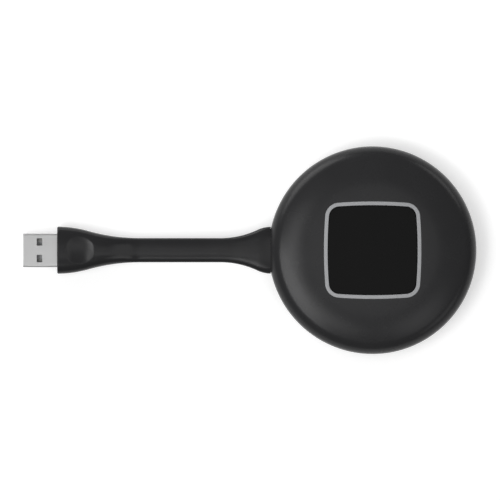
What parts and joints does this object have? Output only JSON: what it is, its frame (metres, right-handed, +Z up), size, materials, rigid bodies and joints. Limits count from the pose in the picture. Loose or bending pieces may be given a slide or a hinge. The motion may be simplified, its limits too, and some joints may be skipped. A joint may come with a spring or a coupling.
{
  "type": "screen sharing dongle",
  "caption": "Round push-button dongle with a light-ringed square key on a low domed body and a short flat lead ending in a type-A plug, for sending a computer's screen to a display.",
  "frame": {"origin": "centre of the foot pad's underside, on the surface the body rests on", "axes": "+Z up through the button, -X along the lead to the plug, +Y completes a right-handed frame"},
  "size_m": [0.1592, 0.073, 0.0164],
  "materials": {
    "cover_plastic": "satin moulded, charcoal",
    "foot_rubber": "matte moulded",
    "light_guide": "frosted translucent",
    "key_gloss": "polished black",
    "inner_plastic": "moulded",
    "chip_resin": "moulded resin",
    "stem_plastic": "moulded, off-white",
    "plain_steel": "plain",
    "board_laminate": "solder mask",
    "thermal_gel": "soft pad",
    "spreader_aluminium": "rolled sheet",
    "wire_jacket": "extruded",
    "lead_elastomer": "satin moulded, charcoal",
    "plug_steel": "nickel plated sheet",
    "contact_nickel": "nickel plated",
    "tongue_nylon": "moulded, grey"
  },
  "bodies": {
    "housing": {"top_cover": "cover_plastic", "base_cover": "cover_plastic", "foot_pad": "foot_rubber", "light_ring": "light_guide", "key_frame": "inner_plastic", "switch_body": "chip_resin", "switch_dome": "plain_steel", "switch_terminals": "plain_steel", "main_board": "board_laminate", "board_screws": "plain_steel", "cover_screws": "plain_steel", "processor": "chip_resin", "memory_chips": "chip_resin", "thermal_pad": "thermal_gel", "heat_spreader": "spreader_aluminium", "radio_module": "board_laminate", "radio_shield": "plain_steel", "antennas": "stem_plastic", "ring_leds": "light_guide", "power_coil": "chip_resin", "crystal": "plain_steel", "board_passives": "stem_plastic", "lead_connector": "stem_plastic", "lead_wires": "wire_jacket", "strain_relief": "lead_elastomer", "lead": "lead_elastomer", "plug_grip": "lead_elastomer", "plug_core": "stem_plastic", "plug_shell": "plug_steel", "plug_tongue": "tongue_nylon", "plug_contacts": "contact_nickel"},
    "button": {"button_cap": "key_gloss"},
    "switch_stem": {"switch_actuator": "stem_plastic"}
  },
  "joints": [
    {"name": "button_press", "type": "slide", "parent": "housing", "child": "button", "axis": [0, 0, -1], "range_m": [0, 0.0005], "stiffness_N_per_m": 4000},
    {"name": "switch_press", "type": "slide", "parent": "housing", "child": "switch_stem", "axis": [0, 0, -1], "range_m": [0, 0.0005], "deforming": ["switch_dome"]}
  ],
  "couplings": [
    {"joint": "switch_press", "follows": "button_press", "ratio": 1}
  ]
}
